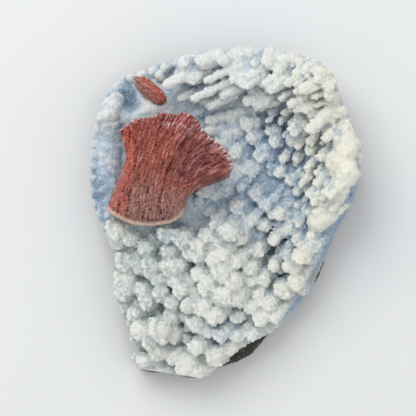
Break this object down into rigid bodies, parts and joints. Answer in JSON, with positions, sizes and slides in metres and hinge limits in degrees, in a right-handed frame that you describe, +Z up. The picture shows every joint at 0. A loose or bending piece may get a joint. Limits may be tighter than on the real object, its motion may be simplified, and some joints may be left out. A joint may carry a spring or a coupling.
{
  "type": "heulandite with chalcedony specimen",
  "caption": "Mineral specimen: red heulandite sheaf on a blue-white crust of chalcedony stalactites over thin basalt, lying flat on its sawn underside.",
  "frame": {"origin": "centre of the bounding box in plan, on the surface that the specimen rests on", "axes": "+Z up from the sawn underside, +Y along the longest side towards the end with the small crystal"},
  "size_m": [0.0993, 0.1203, 0.0403],
  "materials": {
    "basalt": "dark brown-grey rough broken basalt, sawn flat underneath",
    "chalcedony": "milky blue-white chalcedony frosted with tiny quartz",
    "heulandite": "brick-red translucent heulandite, pearly, fibrous-ribbed"
  },
  "bodies": {
    "root": {"basalt_matrix": "basalt", "chalcedony_crust": "chalcedony", "heulandite_sheaf": "heulandite", "heulandite_crystal_small": "heulandite"}
  },
  "joints": []
}
